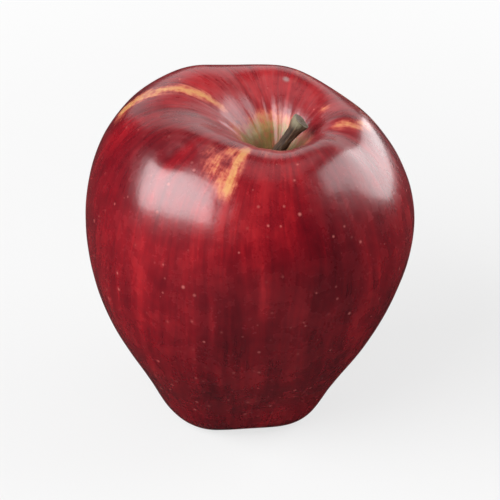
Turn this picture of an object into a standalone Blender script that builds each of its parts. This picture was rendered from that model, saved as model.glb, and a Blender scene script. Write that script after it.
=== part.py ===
"""A tall, ribbed dessert apple: the fruit, its stalk and the dried remains of its flower.

Metres, +Z up. The apple stands upright on five small flats, one under each lobe of its crown. The
origin lies in the plane of those flats, below the middle of the fruit's outline. The stalk end is on
top and the eye, where the flower was, is in a basin underneath.
"""
import math

import bmesh
import bpy
import numpy as np
from mathutils import Vector

# Between pieces that touch
CLEARANCE = 0.0003

# Fruit: overall
WIDTH = 0.080                       # across the widest place
HEIGHT = 0.0815                     # from the resting plane to the middle of the crest
WIDEST_HEIGHT = 0.0535              # height of the widest place
LEAN = 0.041                        # sideways shift of the core for each metre of height
TOP_SLOPE = 0.137                   # fall of the top for each metre towards +X
# Fruit: stalk end
CREST_RADIUS = 0.0218               # ring of the crest round the stalk's cavity
CAVITY_DEPTH = 0.0165
CAVITY_SHIFT = 0.0055               # the cavity's floor lies this far to the right of the core
CAVITY_FLOOR_MARGIN = 0.0006        # flat floor left round the stalk's socket
# Fruit: eye end
FOOT_RADIUS = 0.0145                # circle that the five feet stand on
FOOT_ROUNDING = 0.0070              # radius of the skin's turn from flank to basin
FOOT_FLAT = 0.0007                  # how much of each foot's tip the resting flat takes off
FOOT_FLAT_REACH = 0.4               # half the flat's breadth, as a share of the foot's turn
BASIN_DEPTH = 0.0085
LIP_WIDTH = 0.0011                  # ring round the eye that the sepals grow on
EYE_RADIUS = 0.0042                 # mouth of the tube inside that ring
TUBE_DEPTH = 0.0068
TUBE_END_RADIUS = 0.0017
# Fruit: fullness of the outline, as shares of the run between two places on it
CAVITY_FULLNESS = 0.27
SHOULDER_FULLNESS = 0.665
FLANK_FULLNESS = 0.768
HEEL_FULLNESS = 0.39
FLANK_PLACE = 0.50                  # heights of those last two, as shares of WIDEST_HEIGHT
HEEL_PLACE = 0.18
# Fruit: lobes
LOBE_ANGLES = (7.0, 72.0, 138.0, 235.0, 318.0)     # degrees round from +X
LOBE_START = 0.012                  # distance from the eye's lip over which the lobes grow
CREST_LOBES = 0.0007                # rise of a lobe on the crest, and fall of the valley beside it
CREST_SPREAD = 0.013                # how far either side of the crest that reaches
SHOULDER_LOBES = 0.003              # swelling of a lobe, as a share of the radius
HEEL_LOBES = 0.024
FOOT_LOBES = 0.0018                 # how far the valleys between the feet are lifted
FOOT_SPREAD = 0.007
# Stalk
STALK_RADIUS = 0.0015
STALK_LENGTH = 0.0185
STALK_LEAN = 33.0                   # degrees from upright at the free end
STALK_LEAN_ANGLE = -5.0             # direction it leans in, degrees round from +X
STALK_BEND_END = 0.55               # share of the length where the bend is complete
KNOB_RADIUS = 0.0022
KNOB_LENGTH = 0.0030
SOCKET_DEPTH = 0.0030
# Dried flower
SEPAL_COUNT = 5
SEPAL_LENGTH = 0.0054
SEPAL_WIDTH = 0.0036
SEPAL_TIP_WIDTH = 0.0005
SEPAL_THICKNESS = 0.0005
SEPAL_OPENING = 0.0022              # radius left open where the sepals lean closest
SEPAL_CURL = 0.0012                 # how far their tips turn back outwards
SEPAL_CURL_START = 0.65             # share of the length where that begins
SEPAL_CUPPING = 0.15                # depth of a sepal's hollow, as a share of its width
STAMEN_COUNT = 10
STAMEN_LENGTH = 0.0036
STAMEN_TIP_RADIUS = 0.0012          # circle that the stamens' tips meet on
STAMEN_RING_HEIGHT = 0.0012
STAMEN_RING_WALL = 0.0006
STAMEN_RING_DEPTH = 0.0012          # how far inside the tube's mouth their ring sits
STYLE_COUNT = 5
STYLE_RADIUS = 0.0005
STYLE_FLARE = 1.6                   # thickness at the root, against STYLE_RADIUS
STYLE_LENGTH = 0.0042
STYLE_ARM_LENGTH = 0.0010
# Fineness of the facets
FRUIT_SEGMENTS = 60
FRUIT_RINGS = 40
STALK_SEGMENTS = 14
STALK_RINGS = 14
SEPAL_ROWS = 8
SHARP_EDGE = 50.0                   # degrees; flatter edges are shaded smooth

CAVITY_FLOOR = HEIGHT - CAVITY_DEPTH
STALK_HOLE = STALK_RADIUS + CLEARANCE
LIP_RADIUS = EYE_RADIUS + LIP_WIDTH


# ---------------------------------------------------------------- modelling tools

def material(name, colour, roughness):
    """A Principled material of one colour."""
    made = bpy.data.materials.new(name)
    made.use_nodes = True
    shader = made.node_tree.nodes["Principled BSDF"]
    shader.inputs["Base Color"].default_value = (*colour, 1.0)
    shader.inputs["Roughness"].default_value = roughness
    shader.inputs["Metallic"].default_value = 0.0
    made.diffuse_color = (*colour, 1.0)
    return made


def piece(name, mesh, finish, parent):
    """Makes a bmesh into a named object, shaded smooth but for its real edges."""
    bmesh.ops.recalc_face_normals(mesh, faces=mesh.faces)
    data = bpy.data.meshes.new(name)
    mesh.to_mesh(data)
    mesh.free()
    data.shade_smooth()
    data.set_sharp_from_angle(angle=math.radians(SHARP_EDGE))
    data.materials.append(finish)
    made = bpy.data.objects.new(name, data)
    made.parent = parent
    bpy.context.scene.collection.objects.link(made)


def loft(mesh, rings):
    """Joins rings of points in order, and closes each end with a fan. Gives the rings' vertices."""
    count = len(rings[0])
    loops = [[mesh.verts.new(point) for point in ring] for ring in rings]
    for above, below in zip(loops, loops[1:]):
        for i in range(count):
            j = (i + 1) % count
            mesh.faces.new((above[i], above[j], below[j], below[i]))
    for loop in (loops[0], loops[-1]):
        pole = mesh.verts.new(sum((vert.co for vert in loop), Vector()) / count)
        for i in range(count):
            mesh.faces.new((loop[i], loop[(i + 1) % count], pole))
    return loops


def around(index, count):
    """Unit vector in the level plane, at one of a number of equal turns."""
    turn = 2.0 * math.pi * index / count
    return Vector((math.cos(turn), math.sin(turn), 0.0))


def smoothstep(value):
    value = np.clip(value, 0.0, 1.0)
    return value * value * (3.0 - 2.0 * value)


class Outline:
    """The natural cubic curve through a few points. A place on it runs from 0 to 1."""

    def __init__(self, points):
        self.points = np.array(points)
        chords = np.linalg.norm(np.diff(self.points, axis=0), axis=1) ** 0.7
        self.knots = np.concatenate(([0.0], np.cumsum(chords))) / chords.sum()
        step = np.diff(self.knots)
        slope = np.diff(self.points, axis=0) / step[:, None]
        system = np.eye(len(points))
        change = np.zeros_like(self.points)
        for i in range(1, len(points) - 1):
            system[i, i - 1:i + 2] = step[i - 1], 2.0 * (step[i - 1] + step[i]), step[i]
            change[i] = 6.0 * (slope[i] - slope[i - 1])
        self.bends = np.linalg.solve(system, change)

    def at(self, place):
        last = len(self.knots) - 2
        i = int(np.clip(np.searchsorted(self.knots, place, side="right") - 1, 0, last))
        step = self.knots[i + 1] - self.knots[i]
        after = (place - self.knots[i]) / step
        before = 1.0 - after
        bend = (before ** 3 - before) * self.bends[i] + (after ** 3 - after) * self.bends[i + 1]
        return before * self.points[i] + after * self.points[i + 1] + bend * step * step / 6.0


# ---------------------------------------------------------------- fruit

SHOULDER_KNOT = 3
FOOT_KNOT = 8


def fruit_outline():
    """Radius and height along the skin, from the cavity's floor over the crest to the eye's lip."""
    half = WIDTH / 2
    turn = FOOT_ROUNDING * math.sqrt(0.5)
    turn_height = FOOT_ROUNDING - turn - FOOT_FLAT
    return Outline([
        (STALK_HOLE + CAVITY_FLOOR_MARGIN, CAVITY_FLOOR),
        (CREST_RADIUS / 2, HEIGHT - CAVITY_FULLNESS * CAVITY_DEPTH),
        (CREST_RADIUS, HEIGHT),
        (CREST_RADIUS + (half - CREST_RADIUS) * SHOULDER_FULLNESS,
         WIDEST_HEIGHT + (HEIGHT - WIDEST_HEIGHT) * SHOULDER_FULLNESS),
        (half, WIDEST_HEIGHT),
        (FOOT_RADIUS + (half - FOOT_RADIUS) * FLANK_FULLNESS, WIDEST_HEIGHT * FLANK_PLACE),
        (FOOT_RADIUS + (half - FOOT_RADIUS) * HEEL_FULLNESS, WIDEST_HEIGHT * HEEL_PLACE),
        (FOOT_RADIUS + turn, turn_height),
        (FOOT_RADIUS, -FOOT_FLAT),
        (FOOT_RADIUS - turn, turn_height),
        (LIP_RADIUS, BASIN_DEPTH),
    ])


def lobe_at(angles):
    """1 on a lobe, -1 in a valley and smooth between them."""
    centres = np.radians(LOBE_ANGLES)
    closed = np.append(centres, centres[0] + 2.0 * math.pi)
    turned = (angles - centres[0]) % (2.0 * math.pi) + centres[0]
    return np.cos(np.interp(turned, closed, 2.0 * math.pi * np.arange(len(closed))))


def core_at(height):
    """The middle of the fruit's core, which leans a little."""
    return Vector((LEAN * (height - WIDEST_HEIGHT), 0.0, height))


def lobed_ring(radius, height, inward, angles):
    """One ring of the turned outline, taken to the ribbed and leaning fruit. Inward runs from 0 on
    the shoulder to 1 on the cavity's floor."""
    rise = min(max(height / HEIGHT, 0.0), 1.0)
    lobes = lobe_at(angles) * smoothstep((radius - LIP_RADIUS) / LOBE_START)
    near_crest = math.exp(-((radius - CREST_RADIUS) / CREST_SPREAD) ** 2) * rise ** 4
    near_feet = math.exp(-((radius - FOOT_RADIUS) / FOOT_SPREAD) ** 2) * (1.0 - rise) ** 6
    lobed = radius * (1.0 + lobes * (SHOULDER_LOBES * rise ** 2 + HEEL_LOBES * (1.0 - rise) ** 2))
    across = lobed * np.cos(angles)
    z = height + near_crest * CREST_LOBES * lobes - TOP_SLOPE * rise ** 2 * across
    z = np.maximum(z + near_feet * FOOT_LOBES * (1.0 - lobes) / 2.0, 0.0)
    x = across + core_at(height).x + CAVITY_SHIFT * smoothstep(inward)
    return np.stack((x, lobed * np.sin(angles), z), axis=1)


def fruit_rings():
    """The fruit from the stalk's socket, over the skin, to the end of the eye's tube."""
    angles = np.arange(FRUIT_SEGMENTS) * 2.0 * math.pi / FRUIT_SEGMENTS
    outline = fruit_outline()
    foot = outline.knots[FOOT_KNOT]
    flat_reach = FOOT_FLAT_REACH * (foot - outline.knots[FOOT_KNOT - 1])
    places = [p for p in np.linspace(0.0, 1.0, FRUIT_RINGS) if abs(p - foot) > 1.4 * flat_reach]
    places = sorted(places + [foot - flat_reach, foot, foot + flat_reach])
    socket_end = CAVITY_FLOOR - SOCKET_DEPTH
    rings = [lobed_ring(STALK_HOLE, height, 1.0, angles) for height in (socket_end, CAVITY_FLOOR)]
    for place in places:
        radius, height = outline.at(place)
        rings.append(lobed_ring(radius, height, 1.0 - place / outline.knots[SHOULDER_KNOT], angles))
    for share in (0.0, 0.25, 0.6, 1.0):
        depth = TUBE_DEPTH * share
        rings.append(lobed_ring(tube_radius(depth), BASIN_DEPTH + depth, 0.0, angles))
    return rings


def tube_radius(depth):
    """Radius of the eye's tube at a depth inside its mouth."""
    return EYE_RADIUS + (TUBE_END_RADIUS - EYE_RADIUS) * (depth / TUBE_DEPTH) ** 2


def make_fruit(finish, parent):
    """The whole fruit: one solid, with the stalk's socket and the eye's tube in it."""
    mesh = bmesh.new()
    loft(mesh, [ring.tolist() for ring in fruit_rings()])
    piece("fruit", mesh, finish, parent)


# ---------------------------------------------------------------- stalk

def make_stalk(finish, parent):
    """The woody stalk: upright in its socket, then bent over, with a swollen knob at its end."""
    mesh = bmesh.new()
    heading = math.radians(STALK_LEAN_ANGLE)
    side = Vector((math.cos(heading), math.sin(heading), 0.0))
    across = Vector((-side.y, side.x, 0.0))
    up = Vector((0.0, 0.0, 1.0))
    socket_x = core_at(CAVITY_FLOOR - SOCKET_DEPTH / 2).x + CAVITY_SHIFT
    point = Vector((socket_x, 0.0, CAVITY_FLOOR - SOCKET_DEPTH + CLEARANCE))
    bend_start = SOCKET_DEPTH / STALK_LENGTH
    rings = []
    for i in range(STALK_RINGS + 1):
        share = i / STALK_RINGS
        bent = float(smoothstep((share - bend_start) / (STALK_BEND_END - bend_start)))
        bend = math.radians(STALK_LEAN) * bent
        if i:
            point = point + (side * math.sin(bend) + up * math.cos(bend)) * STALK_LENGTH / STALK_RINGS
        into_knob = 1.0 - (1.0 - share) * STALK_LENGTH / KNOB_LENGTH
        radius = STALK_RADIUS + (KNOB_RADIUS - STALK_RADIUS) * float(smoothstep(into_knob))
        flat = side * math.cos(bend) - up * math.sin(bend)
        spokes = [around(j, STALK_SEGMENTS) for j in range(STALK_SEGMENTS)]
        rings.append([point + (flat * spoke.x + across * spoke.y) * radius for spoke in spokes])
    loft(mesh, rings)
    piece("stalk", mesh, finish, parent)


# ---------------------------------------------------------------- dried flower

def sepal_point(share, out):
    """A point on a sepal's middle line, which leans in from the lip and turns back at its tip."""
    root = LIP_RADIUS - LIP_WIDTH / 2
    leaning = math.sin(math.pi / 2 * min(share / SEPAL_CURL_START, 1.0))
    curling = max(share - SEPAL_CURL_START, 0.0) / (1.0 - SEPAL_CURL_START)
    radius = root - (root - SEPAL_OPENING) * leaning + SEPAL_CURL * curling ** 2
    return core_at(BASIN_DEPTH) + out * radius - Vector((0.0, 0.0, CLEARANCE + SEPAL_LENGTH * share))


def make_sepal(number, finish, parent):
    """One dried sepal: a thin, cupped and pointed blade that grows on the eye's lip."""
    mesh = bmesh.new()
    out = around(number - 0.5, SEPAL_COUNT)
    side = Vector((-out.y, out.x, 0.0))
    corners = ((-0.5, -0.5), (0.0, -0.5), (0.5, -0.5), (0.5, 0.5), (0.0, 0.5), (-0.5, 0.5))
    rings = []
    for i in range(SEPAL_ROWS + 1):
        share = i / SEPAL_ROWS
        point = sepal_point(share, out)
        ahead = sepal_point(share + 0.5 / SEPAL_ROWS, out) - sepal_point(share - 0.5 / SEPAL_ROWS, out)
        outwards = side.cross(ahead.normalized())
        width = SEPAL_TIP_WIDTH + (SEPAL_WIDTH - SEPAL_TIP_WIDTH) * (1.0 - share ** 1.5)
        thickness = SEPAL_THICKNESS * (1.0 - 0.5 * share)
        cupping = SEPAL_CUPPING * width * smoothstep(share / SEPAL_CURL_START)
        ring = []
        for u, v in corners:
            offset = thickness * v + cupping * (4.0 * u * u - 1.0)
            ring.append(point + side * width * u + outwards * offset)
        rings.append(ring)
    loft(mesh, rings)
    piece(f"sepal_{number}", mesh, finish, parent)


def make_stamens(finish, parent):
    """The dried stamens: a ring inside the eye's tube whose filaments lean together at its mouth."""
    mesh = bmesh.new()
    segments = 2 * STAMEN_COUNT
    low = STAMEN_RING_DEPTH
    high = low + STAMEN_RING_HEIGHT
    outer = tube_radius(high) - CLEARANCE
    inner = outer - STAMEN_RING_WALL
    middle = core_at(BASIN_DEPTH)
    loops = []
    for i in range(segments):
        out = around(i, segments)
        section = ((outer, low), (outer, high), (inner, high), (inner, low))
        loops.append([mesh.verts.new(middle + out * r + Vector((0.0, 0.0, z))) for r, z in section])
    feet = []
    for i in range(segments):
        here, there = loops[i], loops[(i + 1) % segments]
        faces = [mesh.faces.new((here[j], there[j], there[j - 3], here[j - 3])) for j in range(4)]
        if i % 2 == 0:
            feet.append(faces[3])
    ring_radius = (outer + inner) / 2
    for foot in feet:
        out = ((foot.calc_center_median() - middle) * Vector((1.0, 1.0, 0.0))).normalized()
        face = foot
        for share, thickness in ((0.5, 0.7), (1.0, 0.8)):
            face = bmesh.ops.extrude_discrete_faces(mesh, faces=[face])["faces"][0]
            old_centre = face.calc_center_median()
            centre = middle + out * (ring_radius + (STAMEN_TIP_RADIUS - ring_radius) * share)
            centre.z += low - STAMEN_LENGTH * share
            for vert in face.verts:
                vert.co = centre + (vert.co - old_centre) * thickness
    piece("stamens", mesh, finish, parent)


def make_styles(finish, parent):
    """The dried styles: one short column from the tube's end that parts into five arms."""
    mesh = bmesh.new()
    segments = 2 * STYLE_COUNT
    root = core_at(BASIN_DEPTH + TUBE_DEPTH - CLEARANCE)
    rings = []
    for share in (0.0, 0.4, 0.85, 1.0):
        middle = root - Vector((0.0, 0.0, STYLE_LENGTH * share))
        radius = STYLE_RADIUS * (STYLE_FLARE + (1.0 - STYLE_FLARE) * share)
        rings.append([middle + around(i + 0.5, segments) * radius for i in range(segments)])
    loops = loft(mesh, rings)
    arms = []
    for i in range(0, segments, 2):
        corners = {loops[2][i], loops[2][i + 1], loops[3][i], loops[3][i + 1]}
        arms += [face for face in mesh.faces if set(face.verts) == corners]
    for arm in arms:
        out = ((arm.calc_center_median() - root) * Vector((1.0, 1.0, 0.0))).normalized()
        reach = (out * 0.6 + Vector((0.0, 0.0, -0.8))) * STYLE_ARM_LENGTH
        tip = bmesh.ops.extrude_discrete_faces(mesh, faces=[arm])["faces"][0]
        centre = tip.calc_center_median()
        for vert in tip.verts:
            vert.co = centre + (vert.co - centre) * 0.7 + reach
    piece("styles", mesh, finish, parent)


# ---------------------------------------------------------------- the whole apple

def build():
    for item in list(bpy.data.objects):
        bpy.data.objects.remove(item, do_unlink=True)
    apple = bpy.data.objects.new("apple", None)
    bpy.context.scene.collection.objects.link(apple)
    skin_points = np.concatenate(fruit_rings())
    middle = (skin_points.min(axis=0) + skin_points.max(axis=0)) / 2.0
    apple.location = (-middle[0], -middle[1], 0.0)
    make_fruit(material("skin", (0.30, 0.012, 0.020), 0.30), apple)
    make_stalk(material("stalk_bark", (0.075, 0.032, 0.018), 0.75), apple)
    for number in range(1, SEPAL_COUNT + 1):
        make_sepal(number, material(f"dried_sepal_{number}", (0.16, 0.12, 0.07), 0.9), apple)
    make_stamens(material("dried_stamens", (0.10, 0.045, 0.02), 0.9), apple)
    make_styles(material("dried_styles", (0.06, 0.03, 0.018), 0.9), apple)


build()
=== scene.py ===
import math

import bpy
import numpy as np
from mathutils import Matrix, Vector, noise


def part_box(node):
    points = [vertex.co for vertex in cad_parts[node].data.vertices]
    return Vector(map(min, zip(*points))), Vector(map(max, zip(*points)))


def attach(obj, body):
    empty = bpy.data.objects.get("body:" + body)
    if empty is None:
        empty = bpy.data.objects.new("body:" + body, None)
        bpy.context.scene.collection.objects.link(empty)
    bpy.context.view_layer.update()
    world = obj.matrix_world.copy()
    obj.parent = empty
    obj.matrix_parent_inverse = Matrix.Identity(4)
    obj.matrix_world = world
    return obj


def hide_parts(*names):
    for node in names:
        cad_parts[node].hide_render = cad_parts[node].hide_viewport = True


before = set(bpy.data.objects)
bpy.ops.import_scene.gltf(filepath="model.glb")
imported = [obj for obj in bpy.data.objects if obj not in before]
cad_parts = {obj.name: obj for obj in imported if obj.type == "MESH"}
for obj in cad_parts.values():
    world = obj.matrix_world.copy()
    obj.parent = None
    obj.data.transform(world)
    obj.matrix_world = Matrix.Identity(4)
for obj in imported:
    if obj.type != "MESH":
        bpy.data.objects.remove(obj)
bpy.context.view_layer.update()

bpy.context.scene.view_settings.view_transform = "Standard"


# ---------------------------------------------------------------- table, light and camera
# The apple stands alone on a plain white table in a bright studio. Large soft lamps stand to its left and
# right, weaker ones behind and above it, and two fill lamps light it without showing in its gloss.

def aim(thing, place, target):
    thing.location = place
    thing.rotation_euler = (Vector(target) - Vector(place)).to_track_quat("-Z", "Y").to_euler()


def from_front(turn, rise, distance, centre):
    """A place seen from the apple: turn is degrees round from the front towards the right."""
    turn, rise = math.radians(turn), math.radians(rise)
    level = Vector((math.sin(turn), -math.cos(turn), 0.0)) * math.cos(rise)
    return Vector(centre) + (level + Vector((0.0, 0.0, math.sin(rise)))) * distance


def new_material(name, roughness):
    """A material with its node tree and shader ready to wire."""
    made = bpy.data.materials.new(name)
    made.use_nodes = True
    shader = made.node_tree.nodes["Principled BSDF"]
    shader.inputs["Roughness"].default_value = roughness
    return made, made.node_tree, shader


def wire(tree, kind, inputs, **settings):
    """Adds a node, sets its options, and fills its inputs from values or other nodes' outputs."""
    made = tree.nodes.new(kind)
    for key, value in settings.items():
        setattr(made, key, value)
    for key, value in inputs.items():
        socket = made.inputs[key]
        if isinstance(value, bpy.types.NodeSocket):
            tree.links.new(value, socket)
        else:
            socket.default_value = value
    return made


def math_node(tree, operation, first, second):
    return wire(tree, "ShaderNodeMath", {0: first, 1: second}, operation=operation).outputs["Value"]


def soft_range(tree, value, low, high, to_low=0.0, to_high=1.0):
    inputs = {"Value": value, "From Min": low, "From Max": high, "To Min": to_low, "To Max": to_high}
    return wire(tree, "ShaderNodeMapRange", inputs, interpolation_type="SMOOTHSTEP").outputs["Result"]


def blend(tree, factor, first, second):
    made = tree.nodes.new("ShaderNodeMix")
    made.data_type = "RGBA"
    for socket, value in ((made.inputs[0], factor), (made.inputs[6], first), (made.inputs[7], second)):
        if isinstance(value, bpy.types.NodeSocket):
            tree.links.new(value, socket)
        elif isinstance(value, tuple):
            socket.default_value = (*value, 1.0)
        else:
            socket.default_value = value
    return made.outputs[2]


def dress(thing, material):
    thing.data.materials.clear()
    thing.data.materials.append(material)


apple_low, apple_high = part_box("fruit")
apple_centre = (apple_low + apple_high) / 2

# The table looks shaded near the apple and fades to plain white away from it: for the camera it glows,
# a painted light that covers most of its real shading near the apple and all of it further out. It throws
# light up on to the fruit, but hardly shows in its gloss.
TABLE_SHADE = (0.34, 0.34, 0.34)
TABLE_BOUNCE = (0.62, 0.62, 0.62)
TABLE_IN_GLOSS = (0.022, 0.022, 0.022)
TABLE_GLOW = 0.72
FADE_START = 0.06
FADE_END = 0.30
ROOM_LIGHT = 0.025

bpy.ops.object.select_all(action="DESELECT")
bpy.ops.mesh.primitive_plane_add(size=10.0)
table = bpy.context.object
table.name = "table"
table_white, tree, shader = new_material("table_white", 0.8)
shader.inputs["Specular IOR Level"].default_value = 0.0
seen = wire(tree, "ShaderNodeLightPath", {}).outputs
tone = blend(tree, seen["Is Diffuse Ray"], TABLE_SHADE, TABLE_BOUNCE)
tone = blend(tree, seen["Is Glossy Ray"], tone, TABLE_IN_GLOSS)
tree.links.new(tone, shader.inputs["Base Color"])
spot = wire(tree, "ShaderNodeTexCoord", {}).outputs["Object"]
off_middle = wire(tree, "ShaderNodeVectorMath", {0: spot}, operation="LENGTH").outputs["Value"]
plain = soft_range(tree, off_middle, FADE_START, FADE_END, TABLE_GLOW, 1.0)
# painted light: the table glows for the camera, which pales the real shadow round the apple
glow = wire(tree, "ShaderNodeEmission", {}).outputs["Emission"]
surface = wire(tree, "ShaderNodeMixShader", {
    0: math_node(tree, "MULTIPLY", plain, seen["Is Camera Ray"]), 1: shader.outputs["BSDF"], 2: glow})
tree.links.new(surface.outputs["Shader"], tree.nodes["Material Output"].inputs["Surface"])
dress(table, table_white)

# The room looks white too, but gives the fruit almost no light
room = bpy.data.worlds.new("room")
room.use_nodes = True
tree = room.node_tree
seen = wire(tree, "ShaderNodeLightPath", {}).outputs
lit = wire(tree, "ShaderNodeMapRange", {
    "Value": seen["Is Camera Ray"], "To Min": ROOM_LIGHT, "To Max": 1.0})
tree.nodes["Background"].inputs["Color"].default_value = (1.0, 1.0, 1.0, 1.0)
tree.links.new(lit.outputs["Result"], tree.nodes["Background"].inputs["Strength"])
bpy.context.scene.world = room

# name, turn, rise, roll, distance, width, height, how bright it looks, and whether the skin mirrors it
lamps = (
    ("window_left", -62.0, 38.0, 20.0, 0.75, 0.90, 0.50, 12.0, True),
    ("window_right", 119.0, 20.0, -44.0, 0.80, 1.50, 0.46, 5.2, True),
    ("panel_behind", 180.0, 20.0, 0.0, 1.00, 1.30, 0.60, 0.9, True),
    ("lamp_above", 180.0, 80.0, 0.0, 1.10, 0.90, 0.80, 0.8, True),
    ("fill_front", -10.0, 50.0, 0.0, 1.20, 1.20, 1.00, 1.1, False),
    ("fill_right", 85.0, 10.0, 0.0, 1.00, 1.00, 0.50, 4.4, False),
)
for name, turn, rise, roll, distance, width, height, brightness, mirrored in lamps:
    bpy.ops.object.light_add(type="AREA")
    lamp = bpy.context.object
    lamp.name = name
    lamp.data.shape = "RECTANGLE"
    lamp.data.size, lamp.data.size_y = width, height
    lamp.data.energy = brightness * math.pi * width * height
    lamp.visible_camera = False
    lamp.visible_glossy = mirrored
    aim(lamp, from_front(turn, rise, distance, apple_centre), apple_centre)
    lamp.rotation_euler.rotate_axis("Z", math.radians(roll))

CAMERA_LENS = 250.0
CAMERA_RISE = 32.0
CAMERA_DISTANCE = 0.85

bpy.ops.object.camera_add()
camera = bpy.context.object
camera.data.lens = CAMERA_LENS
camera.data.clip_start = 0.01
aim(camera, from_front(0.0, CAMERA_RISE, CAMERA_DISTANCE, apple_centre), apple_centre)
bpy.context.scene.camera = camera


# ---------------------------------------------------------------- fruit
# The fruit is one body of crisp flesh in a thin waxy skin. It is taller than wide, ribbed by five
# lobes, hollowed round the stalk on top and round the eye underneath, and stands on five crown lobes.

WIDTH = 0.080
HEIGHT = 0.0815
WIDEST_HEIGHT = 0.0535
LEAN = 0.041
TOP_SLOPE = 0.137
CREST_RADIUS = 0.0218
CAVITY_DEPTH = 0.0165
CAVITY_SHIFT = 0.0055
CAVITY_FLOOR = HEIGHT - CAVITY_DEPTH
SOCKET_RADIUS = 0.0018
SOCKET_DEPTH = 0.0030
FOOT_RADIUS = 0.0145
FOOT_ROUNDING = 0.0070
FOOT_FLAT = 0.0007
BASIN_DEPTH = 0.0085
EYE_RADIUS = 0.0042
LIP_RADIUS = 0.0053
TUBE_DEPTH = 0.0068
TUBE_END_RADIUS = 0.0017
CAVITY_FLOOR_MARGIN = 0.0006
CAVITY_FULLNESS = 0.27
SHOULDER_FULLNESS = 0.665
FLANK_FULLNESS = 0.768
HEEL_FULLNESS = 0.39
FLANK_PLACE = 0.50
HEEL_PLACE = 0.18
LOBE_START = 0.012
CREST_LOBES = 0.0007
CREST_SPREAD = 0.013
SHOULDER_LOBES = 0.003
HEEL_LOBES = 0.024
FOOT_LOBES = 0.0018
FOOT_SPREAD = 0.007
LOBE_ANGLES = (7.0, 72.0, 138.0, 235.0, 318.0)
SKIN_SEGMENTS = 340
SKIN_RINGS = 264


def smoothstep(value, low=0.0, high=1.0):
    value = np.clip((value - low) / (high - low), 0.0, 1.0)
    return value * value * (3.0 - 2.0 * value)


def natural_curve(points, count):
    """Points spaced along the natural cubic curve through a few given ones."""
    points = np.array(points)
    chords = np.linalg.norm(np.diff(points, axis=0), axis=1) ** 0.7
    knots = np.concatenate(([0.0], np.cumsum(chords))) / chords.sum()
    step = np.diff(knots)[:, None]
    slope = np.diff(points, axis=0) / step
    system = np.eye(len(points))
    change = np.zeros_like(points)
    for i in range(1, len(points) - 1):
        system[i, i - 1:i + 2] = step[i - 1, 0], 2.0 * (step[i - 1, 0] + step[i, 0]), step[i, 0]
        change[i] = 6.0 * (slope[i] - slope[i - 1])
    bends = np.linalg.solve(system, change)
    places = np.linspace(0.0, 1.0, count)
    i = np.clip(np.searchsorted(knots, places, side="right") - 1, 0, len(knots) - 2)
    after = ((places - knots[i]) / step[i, 0])[:, None]
    before = 1.0 - after
    bend = (before ** 3 - before) * bends[i] + (after ** 3 - after) * bends[i + 1]
    return before * points[i] + after * points[i + 1] + bend * step[i] ** 2 / 6.0, knots


def eye_tube_radius(depth):
    return EYE_RADIUS + (TUBE_END_RADIUS - EYE_RADIUS) * (depth / TUBE_DEPTH) ** 2


def core_at(height):
    """The middle of the core, which leans a little, in the frame of the finished apple."""
    return Vector((LEAN * (height - WIDEST_HEIGHT), 0.0, height)) + apple_place


def fruit_meridian():
    """Radius, height and inward share of the turned outline, and the arc length along the skin."""
    half, turn = WIDTH / 2, FOOT_ROUNDING * math.sqrt(0.5)
    turn_height = FOOT_ROUNDING - turn - FOOT_FLAT
    skin, knots = natural_curve([
        (SOCKET_RADIUS + CAVITY_FLOOR_MARGIN, CAVITY_FLOOR),
        (CREST_RADIUS / 2, HEIGHT - CAVITY_FULLNESS * CAVITY_DEPTH),
        (CREST_RADIUS, HEIGHT),
        (CREST_RADIUS + (half - CREST_RADIUS) * SHOULDER_FULLNESS,
         WIDEST_HEIGHT + (HEIGHT - WIDEST_HEIGHT) * SHOULDER_FULLNESS),
        (half, WIDEST_HEIGHT),
        (FOOT_RADIUS + (half - FOOT_RADIUS) * FLANK_FULLNESS, WIDEST_HEIGHT * FLANK_PLACE),
        (FOOT_RADIUS + (half - FOOT_RADIUS) * HEEL_FULLNESS, WIDEST_HEIGHT * HEEL_PLACE),
        (FOOT_RADIUS + turn, turn_height),
        (FOOT_RADIUS, -FOOT_FLAT),
        (FOOT_RADIUS - turn, turn_height),
        (LIP_RADIUS, BASIN_DEPTH),
    ], 600)
    socket_end = CAVITY_FLOOR - SOCKET_DEPTH
    socket = [(0.0, socket_end), (SOCKET_RADIUS, socket_end), (SOCKET_RADIUS, CAVITY_FLOOR)]
    tube = [(eye_tube_radius(depth), BASIN_DEPTH + depth) for depth in np.linspace(0.0, TUBE_DEPTH, 12)]
    path = np.array(socket + skin.tolist() + tube + [(0.0, BASIN_DEPTH + TUBE_DEPTH)])
    inward = np.interp(np.linspace(0.0, 1.0, len(skin)), [0.0, knots[3]], [1.0, 0.0])
    inward = np.concatenate((np.ones(len(socket)), inward, np.zeros(len(tube) + 1)))
    steps = np.linalg.norm(np.diff(path, axis=0), axis=1)
    arc = np.concatenate(([0.0], np.cumsum(steps)))
    first, last = len(socket), len(socket) + len(skin) - 1
    fine = np.ones(len(steps))
    fine[:first] = 2.0
    fine[last - 20:] = 2.0
    spread = np.concatenate(([0.0], np.cumsum(steps * fine)))
    return path, inward, arc - arc[first], arc[last] - arc[first], spread / spread[-1]


def lobe_at(angles):
    centres = np.radians(LOBE_ANGLES)
    closed = np.append(centres, centres[0] + 2.0 * math.pi)
    turned = (angles - centres[0]) % (2.0 * math.pi) + centres[0]
    return np.cos(np.interp(turned, closed, 2.0 * math.pi * np.arange(len(closed))))


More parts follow.
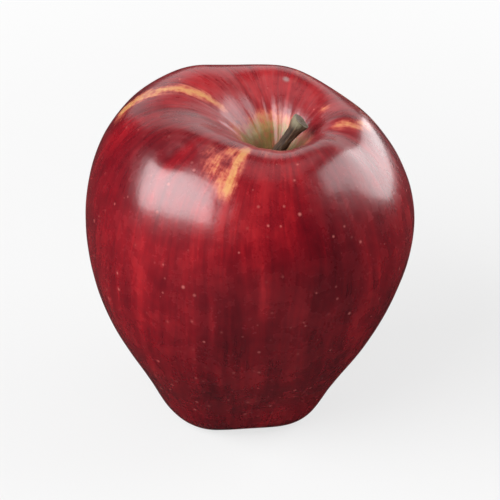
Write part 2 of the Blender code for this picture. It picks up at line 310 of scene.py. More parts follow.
def lobed(radius, height, inward, angles):
    """Takes points of the turned outline to the ribbed and leaning fruit."""
    rise = np.clip(height / HEIGHT, 0.0, 1.0)
    lobes = lobe_at(angles) * smoothstep((radius - LIP_RADIUS) / LOBE_START)
    near_crest = np.exp(-((radius - CREST_RADIUS) / CREST_SPREAD) ** 2) * rise ** 4
    near_feet = np.exp(-((radius - FOOT_RADIUS) / FOOT_SPREAD) ** 2) * (1.0 - rise) ** 6
    swelling = SHOULDER_LOBES * rise ** 2 + HEEL_LOBES * (1.0 - rise) ** 2
    swollen = radius * (1.0 + lobes * swelling)
    across = swollen * np.cos(angles)
    z = height + near_crest * CREST_LOBES * lobes - TOP_SLOPE * rise ** 2 * across
    z = np.maximum(z + near_feet * FOOT_LOBES * (1.0 - lobes) / 2.0, 0.0)
    x = across + LEAN * (height - WIDEST_HEIGHT) + CAVITY_SHIFT * smoothstep(inward)
    return np.stack((x, swollen * np.sin(angles), z), axis=1)


def read_points(thing, name="co"):
    values = np.zeros(len(thing.data.vertices) * 3, np.float32)
    thing.data.vertices.foreach_get(name, values)
    return values.reshape(-1, 3).astype(float)


def write_points(thing, points):
    thing.data.vertices.foreach_set("co", points.astype(np.float32).ravel())
    thing.data.update()


def give_attribute(thing, name, values):
    """Stores a number or a vector for each vertex, for the materials to read."""
    kind, key = ("FLOAT", "value") if values.ndim == 1 else ("FLOAT_VECTOR", "vector")
    attribute = thing.data.attributes.new(name, kind, "POINT")
    attribute.data.foreach_set(key, values.astype(np.float32).ravel())


def turned_from(turns, degrees):
    """How far round each turn is from the one in degrees, the short way."""
    return (turns - math.radians(degrees) + math.pi) % (2.0 * math.pi) - math.pi


def noise_at(points, scale, seed):
    shift = Vector((seed, seed * 1.7, -seed))
    return np.array([noise.noise(Vector(point) * scale + shift) for point in points])


bpy.ops.object.select_all(action="DESELECT")
bpy.ops.mesh.primitive_uv_sphere_add(segments=SKIN_SEGMENTS, ring_count=SKIN_RINGS, radius=1.0)
fruit = bpy.context.object
fruit.name = "fruit_skin"
ball = read_points(fruit)
turn = np.arctan2(ball[:, 1], ball[:, 0])
fall = np.arccos(np.clip(ball[:, 2], -1.0, 1.0)) / math.pi
path, path_inward, path_arc, skin_length, path_spread = fruit_meridian()
radius = np.interp(fall, path_spread, path[:, 0])
height = np.interp(fall, path_spread, path[:, 1])
inward = np.interp(fall, path_spread, path_inward)
arc = np.interp(fall, path_spread, path_arc)
place = np.clip(arc / skin_length, 0.0, 1.0)
points = lobed(radius, height, inward, turn)
skin_low, skin_high = points.min(axis=0), points.max(axis=0)
apple_place = Vector((*(apple_centre.xy - Vector((skin_low + skin_high)[:2]) / 2), 0.0))
points += np.array(apple_place)
write_points(fruit, points)

# Slow waves of the flesh, folds that run into both hollows, and a few dents.
outside = smoothstep(place, 0.0, 0.04) * (1.0 - smoothstep(place, 0.93, 1.0))
spoke = np.stack((np.cos(turn), np.sin(turn), place * 0.6), axis=1)
waves = noise_at(points, 38.0, 3.1) * 0.00026 + noise_at(points, 95.0, 7.7) * 0.00012
waves += noise_at(points, 210.0, 11.3) * 0.000035
cavity_folds = noise_at(spoke, 4.2, 5.0) * 0.00040 * np.exp(-((place - 0.10) / 0.07) ** 2)
cavity_folds += noise_at(spoke, 13.0, 9.0) * 0.00005 * np.exp(-((place - 0.09) / 0.09) ** 2)
pleats = np.abs(noise_at(spoke, 5.5, 2.0)) * -0.0011 * np.exp(-((place - 0.955) / 0.035) ** 2)
push = (waves + cavity_folds + pleats) * outside
# turn in degrees, place along the skin, breadth and depth
dents = (
    (-134.5, 0.234, 0.0038, 0.00092),
    (-172.0, 0.200, 0.0060, 0.00030),
    (150.0, 0.205, 0.0090, 0.00060),
    (-62.0, 0.560, 0.0090, 0.00022),
    (52.0, 0.480, 0.0075, 0.00030),
    (118.0, 0.350, 0.0050, 0.00028),
    (150.0, 0.640, 0.0080, 0.00025),
)
for dent_turn, dent_place, breadth, depth in dents:
    off_turn = np.abs(turned_from(turn, dent_turn))
    nearest = int(np.argmin(off_turn + np.abs(place - dent_place) * 4.0))
    away = np.linalg.norm(points - points[nearest], axis=1)
    push -= depth * np.exp(-(away / breadth) ** 2)
points += read_points(fruit, "normal") * push[:, None]
points[:, 2] = np.maximum(points[:, 2], 0.0)
write_points(fruit, points)
bpy.ops.object.shade_smooth_by_angle(angle=math.radians(50.0))

wander = noise_at(points, 45.0, 1.3) * 0.05 + noise_at(points, 140.0, 4.4) * 0.012
streak_turn = turn + wander
streak_space = np.stack((np.cos(streak_turn), np.sin(streak_turn), arc / (WIDTH / 2)), axis=1)
streak_space = streak_space * WIDTH / 2
give_attribute(fruit, "streak_space", streak_space)
give_attribute(fruit, "place", place)


def patch(patch_turn, patch_place, half_turn, half_place):
    """1 in the middle of a long soft patch on the skin, 0 away from it."""
    off_turn = turned_from(streak_turn, patch_turn)
    off_place = (place - patch_place) / half_place
    return np.exp(-(off_turn / math.radians(half_turn)) ** 2 - off_place ** 2)


def streak(start, end, start_turn, end_turn, half_turn):
    """1 along a soft streak that runs from one place on the skin to another, 0 away from it."""
    middle_turn = np.interp(place, (start, end), (start_turn, end_turn))
    off_turn = (np.degrees(streak_turn) - middle_turn + 180.0) % 360.0 - 180.0
    ends = smoothstep(place, start - 0.015, start + 0.010)
    ends = ends * (1.0 - smoothstep(place, end - 0.020, end + 0.015))
    return np.exp(-(off_turn / half_turn) ** 2) * ends


# Where the red is thin and the yellow ground shows: turn, place, half breadth, half length, strength
thin_patches = (
    (-110.0, 0.195, 5.0, 0.030, 0.55),
    (-113.0, 0.228, 6.0, 0.030, 0.62),
    (-107.0, 0.246, 4.0, 0.032, 0.60),
    (-119.0, 0.218, 5.0, 0.025, 0.42),
    (-89.0, 0.168, 6.0, 0.020, 0.38),
    (30.0, 0.232, 15.0, 0.016, 0.62),
    (18.0, 0.262, 4.0, 0.025, 0.55),
    (26.0, 0.149, 5.0, 0.018, 0.50),
    (80.0, 0.092, 16.0, 0.020, 0.45),
    (62.0, 0.200, 9.0, 0.045, 0.40),
    (112.0, 0.310, 9.0, 0.080, 0.42),
    (83.0, 0.420, 7.0, 0.100, 0.34),
)
# The same as streaks: start and end place, start and end turn, half breadth, strength
thin_streaks = (
    (0.160, 0.285, -103.5, -102.0, 3.4, 1.05),
    (0.115, 0.300, 157.0, 171.5, 5.4, 1.00),
    (0.155, 0.240, -6.0, 4.0, 5.0, 0.72),
)
thin = np.zeros(len(place))
for patch_turn, patch_place, half_turn, half_place, strength in thin_patches:
    thin = np.maximum(thin, strength * patch(patch_turn, patch_place, half_turn, half_place))
for start, end, start_turn, end_turn, half_turn, strength in thin_streaks:
    thin = np.maximum(thin, strength * streak(start, end, start_turn, end_turn, half_turn))
give_attribute(fruit, "thin_red", thin)

# Where the red is deeper (above 0) or brighter (below 0) than elsewhere, in the same terms. The first
# streak is painted shade along the crease between two lobes at the upper left.
shade_patches = (
    (-95.0, 0.31, 20.0, 0.09, -0.80),
    (-64.0, 0.39, 17.0, 0.13, 0.90),
    (140.0, 0.15, 60.0, 0.09, -1.20),
    (40.0, 0.16, 45.0, 0.07, -0.80),
    (-135.0, 0.19, 20.0, 0.04, 0.50),
    (-152.0, 0.27, 16.0, 0.07, 0.65),
    (-60.0, 0.55, 34.0, 0.20, 0.65),
    (-110.0, 0.70, 40.0, 0.16, 0.50),
    (-15.0, 0.42, 14.0, 0.22, -0.60),
    (60.0, 0.45, 40.0, 0.18, -0.55),
    (140.0, 0.50, 36.0, 0.20, 0.40),
)
shade_streaks = (
    # painted shade: darker along the crease between the lobes at the upper left
    (0.090, 0.255, -160.0, -179.0, 4.5, 1.10),
    (0.140, 0.190, 8.0, 3.0, 3.0, 1.00),
)
red_depth_and_crease_shade = np.zeros(len(place))
for patch_turn, patch_place, half_turn, half_place, strength in shade_patches:
    red_depth_and_crease_shade += strength * patch(patch_turn, patch_place, half_turn, half_place)
for start, end, start_turn, end_turn, half_turn, strength in shade_streaks:
    red_depth_and_crease_shade += strength * streak(start, end, start_turn, end_turn, half_turn)
give_attribute(fruit, "deeper_red_and_crease_shade", red_depth_and_crease_shade)
give_attribute(fruit, "scar", patch(72.5, 0.161, 3.0, 0.006))
give_attribute(fruit, "eye_end", smoothstep(arc, skin_length * 0.985, skin_length + 0.0015))


def weighted_sum(tree, parts, start):
    """Start plus each value times its weight."""
    total = start
    for value, weight in parts:
        made = wire(tree, "ShaderNodeMath", {0: value, 1: weight, 2: total}, operation="MULTIPLY_ADD")
        total = made.outputs["Value"]
    return total


def noise_value(tree, space, scales, detail=3.0, roughness=0.5):
    """Noise whose size differs along each axis of a space, in noise waves for each metre."""
    stretched = wire(tree, "ShaderNodeMapping", {"Vector": space, "Scale": scales})
    inputs = {"Vector": stretched.outputs["Vector"], "Scale": 1.0, "Detail": detail, "Roughness": roughness}
    return wire(tree, "ShaderNodeTexNoise", inputs).outputs["Fac"]


def ramp(tree, value, stops):
    made = wire(tree, "ShaderNodeValToRGB", {"Fac": value})
    elements = made.color_ramp.elements
    while len(elements) < len(stops):
        elements.new(0.5)
    for element, (position, colour) in zip(elements, stops):
        element.position = position
        element.color = (*colour, 1.0)
    made.color_ramp.interpolation = "B_SPLINE"
    return made.outputs["Color"]


def attribute(tree, name, output="Fac"):
    return wire(tree, "ShaderNodeAttribute", {}, attribute_name=name).outputs[output]


def skin_material():
    """Waxy skin: a yellow-green ground under streaked crimson, with pale dots and a dusty bloom."""
    made, tree, shader = new_material("apple_skin", 0.30)
    streaks = attribute(tree, "streak_space", "Vector")
    along = attribute(tree, "place")
    solid = wire(tree, "ShaderNodeTexCoord", {}).outputs["Object"]

    fine = noise_value(tree, streaks, (1500.0, 1500.0, 75.0), 5.0, 0.62)
    fan = noise_value(tree, streaks, (640.0, 640.0, 170.0), 5.0, 0.65)
    middling = noise_value(tree, streaks, (520.0, 520.0, 34.0), 4.0, 0.58)
    broad = noise_value(tree, streaks, (150.0, 150.0, 18.0), 3.0, 0.5)
    mottle = noise_value(tree, solid, (190.0, 190.0, 190.0), 5.0, 0.6)
    cloud = noise_value(tree, solid, (60.0, 60.0, 60.0), 3.0, 0.5)
    freckle = noise_value(tree, solid, (900.0, 900.0, 620.0), 3.0, 0.6)

    # Crimson, deeper and brighter in soft patches and faint streaks, one of them painted shade along a
    # crease
    tone = weighted_sum(tree, ((middling, 0.36), (fine, 0.28), (broad, 0.42), (mottle, 0.36),
                               (cloud, 0.30), (freckle, 0.10),
                               (attribute(tree, "deeper_red_and_crease_shade"), -0.13)), -0.42)
    red = ramp(tree, tone, (
        (0.10, (0.028, 0.0008, 0.0024)),
        (0.32, (0.060, 0.0010, 0.0034)),
        (0.48, (0.100, 0.0015, 0.0045)),
        (0.62, (0.158, 0.0026, 0.0060)),
        (0.86, (0.280, 0.0090, 0.0115)),
    ))

    # The ground, where the red thins out in streaks
    floor_green = soft_range(tree, along, 0.120, 0.055)
    basin_green = soft_range(tree, along, 0.90, 0.975)
    green_part = math_node(tree, "MAXIMUM", floor_green, basin_green)
    bare = math_node(tree, "MAXIMUM", attribute(tree, "thin_red"), green_part)
    in_patch = soft_range(tree, bare, 0.03, 0.40)
    thinness = weighted_sum(tree, ((bare, 1.0), (fan, 1.3), (fine, 0.8), (mottle, 1.2),
                                   (freckle, 1.1)), -2.20)
    orange_cover = math_node(tree, "MULTIPLY", soft_range(tree, thinness, 0.00, 0.80), in_patch)
    ground_cover = math_node(tree, "MULTIPLY", soft_range(tree, thinness, 0.45, 1.25), in_patch)
    ground = blend(tree, green_part, (0.38, 0.180, 0.062), (0.092, 0.078, 0.009))
    ground = blend(tree, soft_range(tree, mottle, 0.45, 0.75, 0.0, 0.5), ground, (0.34, 0.200, 0.080))
    flush = soft_range(tree, mottle, 0.35, 0.65)
    flush = blend(tree, flush, (0.230, 0.026, 0.020), (0.340, 0.080, 0.050))
    colour = blend(tree, orange_cover, red, flush)
    colour = blend(tree, ground_cover, colour, ground)

    # A dusty bloom and pale threads of skin round the top
    top = math_node(tree, "MULTIPLY", soft_range(tree, along, 0.27, 0.14),
                    soft_range(tree, along, 0.06, 0.13))
    threads = soft_range(tree, fan, 0.48, 0.68)
    streaked = weighted_sum(tree, ((threads, 0.14), (mottle, 0.26)), -0.05)
    dusty = math_node(tree, "MULTIPLY", top, streaked)
    colour = blend(tree, dusty, colour, (0.33, 0.080, 0.078))

    # Russet at the cavity's floor
    russet = math_node(tree, "MULTIPLY", soft_range(tree, along, 0.050, 0.012),
                       soft_range(tree, middling, 0.42, 0.60))
    colour = blend(tree, russet, colour, (0.085, 0.042, 0.014))

    # A small corky scar, and the brown skin round and inside the eye
    scar = attribute(tree, "scar")
    colour = blend(tree, soft_range(tree, scar, 0.10, 0.9, 0.0, 0.75), colour, (0.190, 0.130, 0.125))
    colour = blend(tree, attribute(tree, "eye_end"), colour, (0.075, 0.045, 0.018))

    # Pale dots, the pores of the skin
    cells = wire(tree, "ShaderNodeTexVoronoi", {"Vector": solid, "Scale": 330.0, "Randomness": 0.85})
    pick = wire(tree, "ShaderNodeSeparateColor", {"Color": cells.outputs["Color"]})
    reach = weighted_sum(tree, ((pick.outputs["Red"], 0.09),), 0.065)
    ratio = math_node(tree, "DIVIDE", cells.outputs["Distance"], reach)
    dots = soft_range(tree, ratio, 1.35, 0.20)
    strong = soft_range(tree, pick.outputs["Green"], 0.15, 0.8, 0.2, 0.9)
    dots = math_node(tree, "MULTIPLY", dots, strong)
    colour = blend(tree, math_node(tree, "MULTIPLY", dots, 0.62), colour, (0.40, 0.110, 0.095))
    tree.links.new(colour, shader.inputs["Base Color"])

    # Gloss: a wax coat over skin that is duller in the hollows, dots, bloom and russet
    dull = weighted_sum(tree, ((mottle, 0.18), (green_part, 0.20), (dots, 0.15), (dusty, 0.30),
                               (russet, 0.35), (attribute(tree, "eye_end"), 0.35)), 0.18)
    tree.links.new(dull, shader.inputs["Roughness"])
    shader.inputs["IOR"].default_value = 1.45
    shader.inputs["Specular Tint"].default_value = (1.0, 0.90, 0.93, 1.0)
    shader.inputs["Coat Weight"].default_value = 0.30
    shader.inputs["Coat Roughness"].default_value = 0.13
    shader.inputs["Coat IOR"].default_value = 1.38

    # Relief: pores, freckles and the fine lines that run into the cavity
    pores = noise_value(tree, solid, (1800.0, 1800.0, 1800.0), 3.0, 0.6)
    brushed = math_node(tree, "MULTIPLY", fan, soft_range(tree, along, 0.26, 0.12, 0.0, 0.7))
    relief = weighted_sum(tree, ((pores, 0.42), (freckle, 0.60), (brushed, 1.0), (fine, 0.35), (dots, 0.2),
                                 (middling, 0.8), (mottle, 1.1)), 0.0)
    bump = wire(tree, "ShaderNodeBump", {"Height": relief, "Strength": 0.6, "Distance": 0.00008})
    tree.links.new(bump.outputs["Normal"], shader.inputs["Normal"])
    return made


dress(fruit, skin_material())
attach(fruit, "root")
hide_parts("fruit")


# ---------------------------------------------------------------- stalk
# The stalk is a woody stem that grew into the fruit at the cavity's floor. It stands in its socket, bends
# over the rim and ends in the swollen knob where it parted from the branch.

STALK_RADIUS = 0.0015
STALK_LENGTH = 0.0185
STALK_LEAN = math.radians(33.0)
STALK_LEAN_ANGLE = math.radians(-5.0)
STALK_BEND_END = 0.55
KNOB_RADIUS = 0.0022
KNOB_LENGTH = 0.0030
BUD_SCAR_TURN = -120.0
BUD_SCAR_PLACE = 0.66
CLEARANCE = 0.0003


def draw_out(name, segments, rings, cap, path, radii, side):
    """Draws a ball out along a path. Cap is the share of its rings in each end, and radii are the stem's
    radii along the path. Gives the object, and each vertex's turn, share and reach from the middle."""
    bpy.ops.object.select_all(action="DESELECT")
    bpy.ops.mesh.primitive_uv_sphere_add(segments=segments, ring_count=rings, radius=1.0)
    made = bpy.context.object
    made.name = name
    ball = read_points(made)
    turn = np.arctan2(ball[:, 1], ball[:, 0])
    fall = np.arccos(np.clip(ball[:, 2], -1.0, 1.0)) / math.pi
    share = np.clip((fall - cap) / (1.0 - 2.0 * cap), 0.0, 1.0)
    reach = np.sin(np.clip(np.minimum(fall, 1.0 - fall) / cap, 0.0, 1.0) * math.pi / 2)
    path = np.array([tuple(point) for point in path])
    steps = np.linspace(0.0, 1.0, len(path))
    ahead = np.gradient(path, axis=0)
    ahead /= np.linalg.norm(ahead, axis=1)[:, None]
    out = np.array(side) - ahead * (ahead @ np.array(side))[:, None]
    out /= np.linalg.norm(out, axis=1)[:, None]
    across = np.cross(out, ahead)
    centre, out, across = (np.stack([np.interp(share, steps, rail[:, i]) for i in range(3)], axis=1)
                           for rail in (path, out, across))
    radius = (np.interp(share, steps, radii) * reach)[:, None]
    write_points(made, centre + (out * np.cos(turn)[:, None] + across * np.sin(turn)[:, None]) * radius)
    return made, turn, share, reach


def face_outwards(thing):
    bpy.ops.object.select_all(action="DESELECT")
    thing.select_set(True)
    bpy.context.view_layer.objects.active = thing
    bpy.ops.object.mode_set(mode="EDIT")
    bpy.ops.mesh.select_all(action="SELECT")
    bpy.ops.mesh.normals_make_consistent(inside=False)
    bpy.ops.object.mode_set(mode="OBJECT")
    bpy.ops.object.shade_smooth_by_angle(angle=math.radians(60.0))


heading = Vector((math.cos(STALK_LEAN_ANGLE), math.sin(STALK_LEAN_ANGLE), 0.0))
stalk_steps = 80
bend_start = SOCKET_DEPTH / STALK_LENGTH
point = core_at(CAVITY_FLOOR - SOCKET_DEPTH / 2) + Vector((CAVITY_SHIFT, 0.0, 0.0))
point.z = CAVITY_FLOOR - SOCKET_DEPTH + CLEARANCE
stalk_path, stalk_radii = [], []
for i in range(stalk_steps + 1):
    share = i / stalk_steps
    bend = STALK_LEAN * float(smoothstep(share, bend_start, STALK_BEND_END))
    stalk_path.append(point.copy())
    point += (heading * math.sin(bend) + Vector((0.0, 0.0, math.cos(bend)))) * STALK_LENGTH / stalk_steps
    knob = float(smoothstep(1.0 - (1.0 - share) * STALK_LENGTH / (KNOB_LENGTH * 1.5)))
    waist = 1.0 - 0.12 * math.exp(-((share - 0.62) / 0.16) ** 2)
    stalk_radii.append(STALK_RADIUS * waist + (KNOB_RADIUS - STALK_RADIUS) * knob)
stalk, turn, share, reach = draw_out("stalk_wood", 72, 150, 0.09, stalk_path, stalk_radii, heading)

# Bark ridges, a bud scar on one side, and an uneven, slanting break across the knob
points = read_points(stalk)
length_space = np.stack((np.cos(turn), np.sin(turn), share * 3.2), axis=1)
bark = noise_at(length_space, 2.6, 1.0) * 0.00016 + noise_at(length_space, 7.0, 4.0) * 0.00007
bark *= smoothstep(share, 0.10, 0.25) * (1.0 - smoothstep(share, 0.97, 1.0))
scar_off = np.abs(turned_from(turn, BUD_SCAR_TURN))
bark += 0.00030 * np.exp(-(scar_off / 0.5) ** 2 - ((share - BUD_SCAR_PLACE) / 0.030) ** 2)
bark -= 0.00018 * np.exp(-(scar_off / 0.5) ** 2 - ((share - BUD_SCAR_PLACE - 0.045) / 0.014) ** 2)
points += read_points(stalk, "normal") * bark[:, None]
end_way = heading * math.sin(STALK_LEAN) + Vector((0.0, 0.0, math.cos(STALK_LEAN)))
at_end = smoothstep(share, 0.93, 1.0)
slant = 0.00055 * np.cos(turn - 2.6) * reach + noise_at(points, 900.0, 6.0) * 0.00022
slant = slant - 0.00025 * (1.0 - reach)
points += np.array(end_way)[None, :] * (slant * at_end)[:, None]
write_points(stalk, points)
face_outwards(stalk)
give_attribute(stalk, "grain_space", length_space * STALK_RADIUS)
give_attribute(stalk, "along_stalk", share)
give_attribute(stalk, "broken_end", smoothstep(share, 0.985, 1.0) * (1.0 - 0.6 * reach ** 4))

# Dried plant fibre, on the stalk, sepals, stamens and styles: lengthwise light and dark, and its relief
fibre = bpy.data.node_groups.new("dried_fibre", "ShaderNodeTree")
fibre.interface.new_socket(name="Space", in_out="INPUT", socket_type="NodeSocketVector")
for socket_name in ("Across", "Along"):
    fibre.interface.new_socket(name=socket_name, in_out="INPUT", socket_type="NodeSocketFloat")
for socket_name in ("Shade", "Relief"):
    fibre.interface.new_socket(name=socket_name, in_out="OUTPUT", socket_type="NodeSocketFloat")
fibre_in = fibre.nodes.new("NodeGroupInput")
fibre_out = fibre.nodes.new("NodeGroupOutput")
fibre_sizes = wire(fibre, "ShaderNodeCombineXYZ", {
    "X": fibre_in.outputs["Across"], "Y": fibre_in.outputs["Across"], "Z": fibre_in.outputs["Along"]})
fibre_stretched = wire(fibre, "ShaderNodeVectorMath", {
    0: fibre_in.outputs["Space"], 1: fibre_sizes.outputs["Vector"]}, operation="MULTIPLY")
fibre_noise = wire(fibre, "ShaderNodeTexNoise", {
    "Vector": fibre_stretched.outputs["Vector"], "Scale": 1.0, "Detail": 5.0, "Roughness": 0.65})
fibre_grit = wire(fibre, "ShaderNodeTexNoise", {
    "Vector": fibre_in.outputs["Space"], "Scale": 2600.0, "Detail": 3.0, "Roughness": 0.6})
fibre_relief = weighted_sum(fibre, (
    (fibre_noise.outputs["Fac"], 0.75), (fibre_grit.outputs["Fac"], 0.25)), 0.0)
fibre.links.new(soft_range(fibre, fibre_relief, 0.34, 0.66), fibre_out.inputs["Shade"])
fibre.links.new(fibre_relief, fibre_out.inputs["Relief"])


def fibre_material(name, space, across, along, colours, roughness, depth):
    """A dried plant part. Colours are its dark, middle and light tones; depth is its relief."""
    made, tree, shader = new_material(name, roughness)
    group = tree.nodes.new("ShaderNodeGroup")
    group.node_tree = fibre
    group.inputs["Across"].default_value = across
    group.inputs["Along"].default_value = along
    tree.links.new(space(tree), group.inputs["Space"])
    colour = ramp(tree, group.outputs["Shade"], tuple(zip((0.15, 0.55, 0.92), colours)))
    tree.links.new(colour, shader.inputs["Base Color"])
    tree.links.new(soft_range(tree, group.outputs["Shade"], 0.0, 1.0, roughness + 0.12, roughness - 0.12),
                   shader.inputs["Roughness"])
    bump = wire(tree, "ShaderNodeBump", {
        "Height": group.outputs["Relief"], "Strength": 0.9, "Distance": depth})
    tree.links.new(bump.outputs["Normal"], shader.inputs["Normal"])
    shader.inputs["IOR"].default_value = 1.40
    return made, tree, shader, colour


bark_made, tree, shader, colour = fibre_material(
    "stalk_bark", lambda tree: attribute(tree, "grain_space", "Vector"), 2400.0, 420.0,
    ((0.012, 0.006, 0.004), (0.038, 0.019, 0.011), (0.110, 0.064, 0.038)), 0.66, 0.00018)
stalk_noise = noise_value(tree, attribute(tree, "grain_space", "Vector"), (700.0, 700.0, 700.0))
greening = math_node(tree, "MULTIPLY", soft_range(tree, attribute(tree, "along_stalk"), 0.84, 1.0),
                     soft_range(tree, stalk_noise, 0.42, 0.60))
colour = blend(tree, greening, colour, (0.125, 0.110, 0.068))
colour = blend(tree, attribute(tree, "broken_end"), colour, (0.060, 0.040, 0.022))
tree.links.new(colour, shader.inputs["Base Color"])
dress(stalk, bark_made)
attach(stalk, "root")
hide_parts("stalk")


# ---------------------------------------------------------------- sepals
# Five sepals are left of the flower. Each is a small, thin, dry leaf that grows on the eye's lip, leans in
# over the eye and curls back at its point.

SEPAL_COUNT = 5
SEPAL_LENGTH = 0.0054
SEPAL_WIDTH = 0.0036
SEPAL_TIP_WIDTH = 0.0004
SEPAL_THICKNESS = 0.00036
SEPAL_OPENING = 0.0022
SEPAL_CURL = 0.0012
SEPAL_CURL_START = 0.65
SEPAL_CUPPING = 0.15
SEPAL_ROOT = LIP_RADIUS - (LIP_RADIUS - EYE_RADIUS) / 2
eye_centre = core_at(BASIN_DEPTH)


def around(turns):
    return Vector((math.cos(2.0 * math.pi * turns), math.sin(2.0 * math.pi * turns), 0.0))


def sepal_line(share, out):
    """A point on a sepal's middle line."""
    leaning = math.sin(math.pi / 2 * min(share / SEPAL_CURL_START, 1.0))
    curling = max(share - SEPAL_CURL_START, 0.0) / (1.0 - SEPAL_CURL_START)
    radius = SEPAL_ROOT - (SEPAL_ROOT - SEPAL_OPENING) * leaning + SEPAL_CURL * curling ** 2
    return eye_centre + out * radius - Vector((0.0, 0.0, CLEARANCE + SEPAL_LENGTH * share))


sepal_made, tree, shader, colour = fibre_material(
    "dried_sepal", lambda tree: attribute(tree, "blade_space", "Vector"), 1900.0, 260.0,
    ((0.030, 0.020, 0.010), (0.085, 0.064, 0.034), (0.190, 0.165, 0.100)), 0.80, 0.00012)
tip_brown = soft_range(tree, attribute(tree, "along_blade"), 0.60, 1.0, 0.0, 0.75)
tree.links.new(blend(tree, tip_brown, colour, (0.022, 0.012, 0.007)), shader.inputs["Base Color"])

for number in range(1, SEPAL_COUNT + 1):
    out = around((number - 0.5) / SEPAL_COUNT)
    side = Vector((-out.y, out.x, 0.0))
    bpy.ops.object.select_all(action="DESELECT")
    bpy.ops.mesh.primitive_grid_add(x_subdivisions=20, y_subdivisions=36, size=1.0)
    sepal = bpy.context.object
    sepal.name = f"sepal_blade_{number}"
    flat = read_points(sepal)
    blade = []
    for u, v, _ in flat:
        share = v + 0.5
        spot = sepal_line(share, out)
        ahead = sepal_line(share + 0.02, out) - sepal_line(share - 0.02, out)
        outwards = side.cross(ahead.normalized())
        ragged = 1.0 + 0.16 * noise.noise(Vector((share * 9.0, math.copysign(3.0, u), number * 5.0)))
        width = SEPAL_TIP_WIDTH + (SEPAL_WIDTH - SEPAL_TIP_WIDTH) * (1.0 - share ** 1.5)
        width *= min(ragged, 1.06)
        cup = SEPAL_CUPPING * width * float(smoothstep(share / SEPAL_CURL_START)) * (4.0 * u * u - 1.0)
        ribs = 0.00007 * math.cos(u * 6.0 * math.pi) * float(smoothstep(share, 0.0, 0.2))
        crinkle = 0.00022 * noise.noise(Vector((u * 3.0, share * 5.0, number * 9.0)))
        twist = 0.00025 * math.sin(number * 2.4) * u * 2.0 * share
        blade.append(spot + side * width * u + outwards * (cup + ribs + crinkle * share + twist))
    write_points(sepal, np.array([tuple(spot) for spot in blade]))
    apart = np.full(len(flat), number * 0.01)
    blade_space = np.stack((flat[:, 0] * SEPAL_WIDTH, apart, flat[:, 1] * SEPAL_LENGTH), axis=1)
    give_attribute(sepal, "blade_space", blade_space)
    give_attribute(sepal, "along_blade", flat[:, 1] + 0.5)
    wall = sepal.modifiers.new("wall", "SOLIDIFY")
    wall.thickness = SEPAL_THICKNESS
    wall.offset = 0.0
    bpy.ops.object.modifier_apply(modifier=wall.name)
    face_outwards(sepal)
    dress(sepal, sepal_made)
    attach(sepal, "root")
    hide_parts(f"sepal_{number}")


# ---------------------------------------------------------------- stamens
# The stamens dried in a ring inside the eye's tube. Their thin filaments lean together at its mouth, and
# some still carry a shrivelled anther.

STAMEN_COUNT = 20
STAMEN_LENGTH = 0.0036
STAMEN_TIP_RADIUS = 0.0012
STAMEN_RING_HEIGHT = 0.0012
STAMEN_RING_WALL = 0.0006
STAMEN_RING_DEPTH = 0.0012
ring_radius = eye_tube_radius(STAMEN_RING_DEPTH + STAMEN_RING_HEIGHT) - CLEARANCE - STAMEN_RING_WALL / 2
ring_centre = eye_centre + Vector((0.0, 0.0, STAMEN_RING_DEPTH + STAMEN_RING_HEIGHT / 2))


def object_space(tree):
    return wire(tree, "ShaderNodeTexCoord", {}).outputs["Object"]


def join_to(thing, others):
    bpy.ops.object.select_all(action="DESELECT")
    for other in (*others, thing):
        other.select_set(True)
    bpy.context.view_layer.objects.active = thing
    bpy.ops.object.join()


stamen_made = fibre_material(
    "dried_stamen", object_space, 2200.0, 700.0,
    ((0.020, 0.009, 0.005), (0.060, 0.030, 0.014), (0.130, 0.080, 0.040)), 0.80, 0.0001)[0]

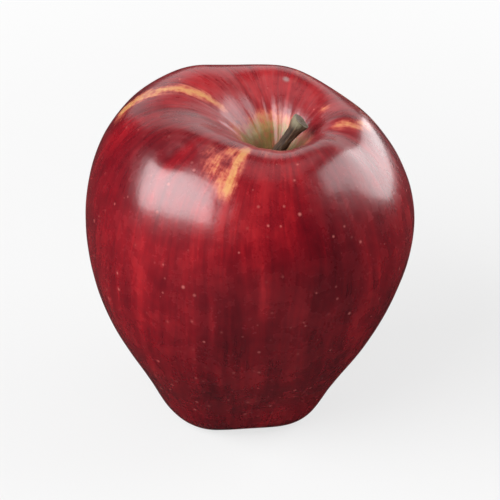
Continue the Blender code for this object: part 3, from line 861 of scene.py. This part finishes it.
bpy.ops.object.select_all(action="DESELECT")
bpy.ops.mesh.primitive_torus_add(major_segments=96, minor_segments=16, major_radius=ring_radius,
                                 minor_radius=STAMEN_RING_WALL / 2)
stamens = bpy.context.object
stamens.name = "stamen_ring"
points = read_points(stamens)
points[:, 2] *= STAMEN_RING_HEIGHT / STAMEN_RING_WALL
points += read_points(stamens, "normal") * (noise_at(points, 1600.0, 2.0) * 0.00010)[:, None]
write_points(stamens, points + np.array(ring_centre))
filaments = []
for number in range(STAMEN_COUNT):
    out = around(number / STAMEN_COUNT)
    sway = around(number * 0.382) * 0.00045
    length = STAMEN_LENGTH * (0.80 + 0.20 * math.sin(number * 2.1))
    root = ring_centre + out * ring_radius
    tip = eye_centre + out * STAMEN_TIP_RADIUS * (1.1 + 0.5 * math.cos(number * 1.7)) + sway
    tip.z = eye_centre.z + STAMEN_RING_DEPTH - length
    middle = (root + tip) / 2 + out * 0.0005
    steps = [i / 12 for i in range(13)]
    thread = [root * (1 - t) ** 2 + middle * 2 * t * (1 - t) + tip * t ** 2 for t in steps]
    anther = 0.00022 if number % 3 else 0.0
    radii = [0.00017 - 0.00006 * t + anther * math.exp(-((t - 0.94) / 0.07) ** 2) for t in steps]
    filaments.append(draw_out("filament", 10, 24, 0.10, thread, radii, out)[0])
join_to(stamens, filaments)
face_outwards(stamens)
dress(stamens, stamen_made)
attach(stamens, "root")
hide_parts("stamens")


# ---------------------------------------------------------------- styles
# The styles are one short dry column that grew from the core. It parts into five arms, each with a small
# knobbed tip.

STYLE_COUNT = 5
STYLE_RADIUS = 0.0005
STYLE_FLARE = 1.6
STYLE_LENGTH = 0.0042
STYLE_ARM_LENGTH = 0.0013
style_root = core_at(BASIN_DEPTH + TUBE_DEPTH - CLEARANCE)
style_made = fibre_material(
    "dried_style", object_space, 2000.0, 600.0,
    ((0.012, 0.006, 0.004), (0.036, 0.020, 0.011), (0.085, 0.055, 0.030)), 0.80, 0.0001)[0]
steps = [i / 16 for i in range(17)]
column = [style_root - Vector((0.0, 0.0, STYLE_LENGTH * t)) for t in steps]
radii = [STYLE_RADIUS * (STYLE_FLARE + (1.0 - STYLE_FLARE) * t) for t in steps]
styles, turn, share, reach = draw_out("style_column", 40, 60, 0.08, column, radii, (1.0, 0.0, 0.0))
points = read_points(styles)
flutes = 0.00006 * np.cos(turn * STYLE_COUNT) * reach + noise_at(points, 1500.0, 8.0) * 0.00007 * reach
write_points(styles, points + read_points(styles, "normal") * flutes[:, None])
arms = []
for number in range(STYLE_COUNT):
    out = around((number + 0.35) / STYLE_COUNT)
    root = style_root - Vector((0.0, 0.0, STYLE_LENGTH * 0.90)) + out * STYLE_RADIUS * 0.45
    reach_out = out * 0.62 + Vector((0.0, 0.0, -0.78))
    arm = [root + reach_out * STYLE_ARM_LENGTH * t + out * 0.0002 * t * t for t in steps]
    radii = [0.00024 - 0.00008 * t + 0.00014 * math.exp(-((t - 0.92) / 0.10) ** 2) for t in steps]
    arms.append(draw_out("arm", 14, 30, 0.12, arm, radii, around((number + 0.6) / STYLE_COUNT))[0])
join_to(styles, arms)
face_outwards(styles)
dress(styles, style_made)
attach(styles, "root")
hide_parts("styles")
